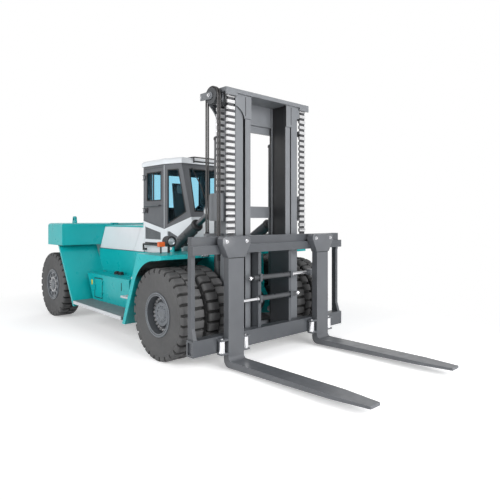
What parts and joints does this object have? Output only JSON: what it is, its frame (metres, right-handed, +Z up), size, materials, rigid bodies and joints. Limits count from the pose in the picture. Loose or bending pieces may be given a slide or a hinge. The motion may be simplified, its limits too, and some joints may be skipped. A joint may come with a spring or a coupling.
{
  "type": "heavy forklift",
  "caption": "Heavy counterbalance forklift: cab, tilting two-stage mast with chains, fork carriage on rollers, twin drive wheels, steered rear wheels, hinged hood and doors.",
  "frame": {"origin": "centre of the overall box on the floor", "axes": "+X forward along the forks, +Y to the driver's left, +Z up"},
  "size_m": [8.9798, 3.45, 4.308],
  "materials": {
    "teal_paint": "gloss",
    "white_paint": "gloss",
    "dark_paint": "satin",
    "mast_paint": "satin",
    "board_paint": "matte",
    "black_parts": "matte",
    "grille": "matte",
    "rim_paint": "satin",
    "tyre": "matte",
    "hose": "matte",
    "glass": "gloss",
    "chrome": "polished",
    "chain": "satin",
    "cast": "matte",
    "seat": "matte",
    "lamp": "gloss"
  },
  "bodies": {
    "chassis": {"chassis_frame": "teal_paint", "drive_axle": "cast", "steer_axle": "cast", "front_fenders": "teal_paint", "boards_and_steps": "board_paint", "side_tanks": "teal_paint", "body_sides": "teal_paint", "engine_block": "cast", "counterweight": "teal_paint", "lifting_lugs": "teal_paint", "lamps": "lamp", "headlamps": "black_parts", "grab_rails": "black_parts", "cab_plinth": "dark_paint", "cowl": "white_paint", "cab_frame": "dark_paint", "cab_skirt": "white_paint", "cab_louvres": "grille", "cab_glass": "glass", "cab_roof": "white_paint", "cab_fittings": "black_parts", "seat_cushions": "seat"},
    "cab_door_right": {"cab_door_right": "dark_paint", "door_glass_right": "glass"},
    "cab_door_left": {"cab_door_left": "dark_paint", "door_glass_left": "glass"},
    "hood": {"hood_top": "teal_paint", "hood_sides": "white_paint"},
    "box_door": {"box_door": "teal_paint"},
    "front_wheels_left": {"front_rims_left": "rim_paint", "front_tyres_left": "tyre"},
    "front_wheels_right": {"front_rims_right": "rim_paint", "front_tyres_right": "tyre"},
    "knuckle_left": {"knuckle_left": "cast"},
    "knuckle_right": {"knuckle_right": "cast"},
    "steer_rod": {"steer_rod": "chrome"},
    "rear_wheel_left": {"rear_rim_left": "rim_paint", "rear_tyre_left": "tyre"},
    "rear_wheel_right": {"rear_rim_right": "rim_paint", "rear_tyre_right": "tyre"},
    "outer_mast": {"outer_mast": "mast_paint", "lift_barrels": "mast_paint", "chain_rear_runs": "chain", "hose_rear_runs": "hose"},
    "inner_mast": {"inner_mast": "mast_paint", "lift_rods": "chrome", "sheaves": "cast", "chain_wraps": "chain", "hose_wraps": "hose", "chain_front_runs": "chain", "hose_front_runs": "hose"},
    "carriage": {"carriage": "mast_paint", "positioner_barrels": "mast_paint"},
    "fork_left": {"fork_left": "mast_paint", "fork_runners_left": "chrome"},
    "fork_right": {"fork_right": "mast_paint", "fork_runners_right": "chrome"},
    "tilt_barrels": {"tilt_barrels": "mast_paint"},
    "tilt_rods": {"tilt_rods": "chrome"}
  },
  "joints": [
    {"name": "front_left_roll", "type": "hinge", "parent": "chassis", "child": "front_wheels_left", "pos_m": [0.99, 1.25, 0.73], "axis": [0, 1, 0], "continuous": true},
    {"name": "front_right_roll", "type": "hinge", "parent": "chassis", "child": "front_wheels_right", "pos_m": [0.99, -1.25, 0.73], "axis": [0, 1, 0], "continuous": true},
    {"name": "steer_left", "type": "hinge", "parent": "chassis", "child": "knuckle_left", "pos_m": [-3.74, 0.9, 0.73], "axis": [0, 0, 1], "range_deg": [-60, 60]},
    {"name": "steer_right", "type": "hinge", "parent": "chassis", "child": "knuckle_right", "pos_m": [-3.74, -0.9, 0.73], "axis": [0, 0, 1], "range_deg": [-60, 60]},
    {"name": "steer_rod_slide", "type": "slide", "parent": "chassis", "child": "steer_rod", "axis": [0, 1, 0], "range_m": [-0.199, 0.199]},
    {"name": "rear_left_roll", "type": "hinge", "parent": "knuckle_left", "child": "rear_wheel_left", "pos_m": [-3.74, 1.335, 0.73], "axis": [0, 1, 0], "continuous": true},
    {"name": "rear_right_roll", "type": "hinge", "parent": "knuckle_right", "child": "rear_wheel_right", "pos_m": [-3.74, -1.335, 0.73], "axis": [0, 1, 0], "continuous": true},
    {"name": "mast_tilt", "type": "hinge", "parent": "chassis", "child": "outer_mast", "pos_m": [1.3, 0, 0.6], "axis": [0, 1, 0], "range_deg": [-10, 5]},
    {"name": "tilt_barrel_swing", "type": "hinge", "parent": "chassis", "child": "tilt_barrels", "pos_m": [0.24, 0, 1.73], "axis": [0, 1, 0], "range_deg": [-9, 5]},
    {"name": "tilt_rod_slide", "type": "slide", "parent": "tilt_barrels", "child": "tilt_rods", "axis": [0.8593, 0, 0.5115], "range_m": [-0.27, 0.14]},
    {"name": "mast_lift", "type": "slide", "parent": "outer_mast", "child": "inner_mast", "axis": [0, 0, 1], "range_m": [0, 2.25], "deforming": ["chain_rear_runs", "hose_rear_runs"]},
    {"name": "carriage_lift", "type": "slide", "parent": "inner_mast", "child": "carriage", "axis": [0, 0, 1], "range_m": [0, 2.25], "deforming": ["chain_front_runs", "hose_front_runs"]},
    {"name": "fork_left_shift", "type": "slide", "parent": "carriage", "child": "fork_left", "axis": [0, 1, 0], "range_m": [-0.38, 0.35]},
    {"name": "fork_right_shift", "type": "slide", "parent": "carriage", "child": "fork_right", "axis": [0, -1, 0], "range_m": [-0.38, 0.35]},
    {"name": "cab_door_right_swing", "type": "hinge", "parent": "chassis", "child": "cab_door_right", "pos_m": [-0.922, -0.8, 2.6], "axis": [0, 0, -1], "range_deg": [0, 100]},
    {"name": "cab_door_left_swing", "type": "hinge", "parent": "chassis", "child": "cab_door_left", "pos_m": [-0.922, 0.8, 2.6], "axis": [0, 0, 1], "range_deg": [0, 100]},
    {"name": "hood_swing", "type": "hinge", "parent": "chassis", "child": "hood", "pos_m": [-2.865, 0, 2.13], "axis": [0, -1, 0], "range_deg": [0, 55]},
    {"name": "box_door_swing", "type": "hinge", "parent": "chassis", "child": "box_door", "pos_m": [-1.793, -1.265, 0.8], "axis": [0, 0, 1], "range_deg": [0, 100]}
  ],
  "couplings": [
    {"joint": "steer_right", "follows": "steer_left", "ratio": 1},
    {"joint": "steer_rod_slide", "follows": "steer_left", "m_per_rad": 0.19},
    {"joint": "tilt_barrel_swing", "follows": "mast_tilt", "ratio": 0.76},
    {"joint": "tilt_rod_slide", "follows": "mast_tilt", "m_per_rad": 1.517},
    {"joint": "carriage_lift", "follows": "mast_lift", "ratio": 1}
  ]
}
